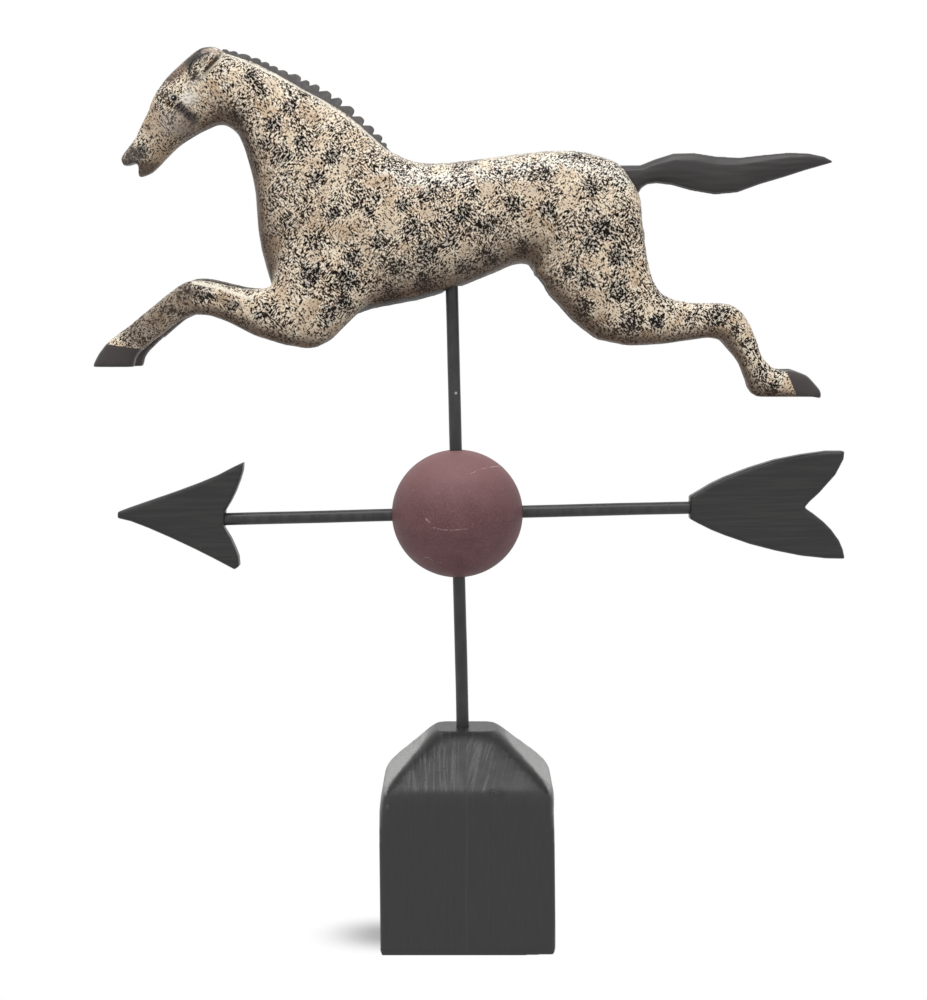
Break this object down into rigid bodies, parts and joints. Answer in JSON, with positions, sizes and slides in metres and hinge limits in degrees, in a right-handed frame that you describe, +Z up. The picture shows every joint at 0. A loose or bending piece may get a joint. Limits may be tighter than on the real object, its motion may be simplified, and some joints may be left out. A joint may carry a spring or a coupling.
{
  "type": "horse weathervane",
  "caption": "Carved running horse on a rod over a turned ball and a long arrow, free to turn on a hipped block stand.",
  "frame": {"origin": "centre of the block's underside, on the seam between its two boards", "axes": "+Z up, -X the way the horse and the arrow point at rest, +Y away from the picture's viewer"},
  "size_m": [0.381, 0.086, 0.4525],
  "materials": {
    "block_paint": "satin black paint, rubbed on the hipped top",
    "sleeve_brass": "drawn brass tube",
    "bearing_steel": "plain steel ball",
    "rod_paint": "satin black paint",
    "ball_paint": "matte maroon paint with fine turning lines",
    "arrow_paint": "satin black paint over wood grain",
    "dapple_paint": "cream paint sponged with black and grey brown, satin",
    "mane_paint": "satin black paint",
    "eye_enamel": "glossy black enamel",
    "bare_wood": "bare wood"
  },
  "bodies": {
    "base": {"base_block_left": "block_paint", "base_block_right": "block_paint", "spindle_sleeve": "sleeve_brass", "thrust_ball": "bearing_steel"},
    "vane": {"spindle": "rod_paint", "ball": "ball_paint", "horse_post": "rod_paint", "arrow_shaft": "rod_paint", "arrow_head": "arrow_paint", "arrow_tail": "arrow_paint", "horse_body": "dapple_paint", "mane_strip": "mane_paint", "near_eye": "eye_enamel", "far_eye": "eye_enamel", "horse_tail": "mane_paint", "tail_peg": "bare_wood"}
  },
  "joints": [
    {"name": "vane_spin", "type": "hinge", "parent": "base", "child": "vane", "pos_m": [0, 0, 0.03], "axis": [-0.025, 0, 0.9997], "continuous": true}
  ]
}
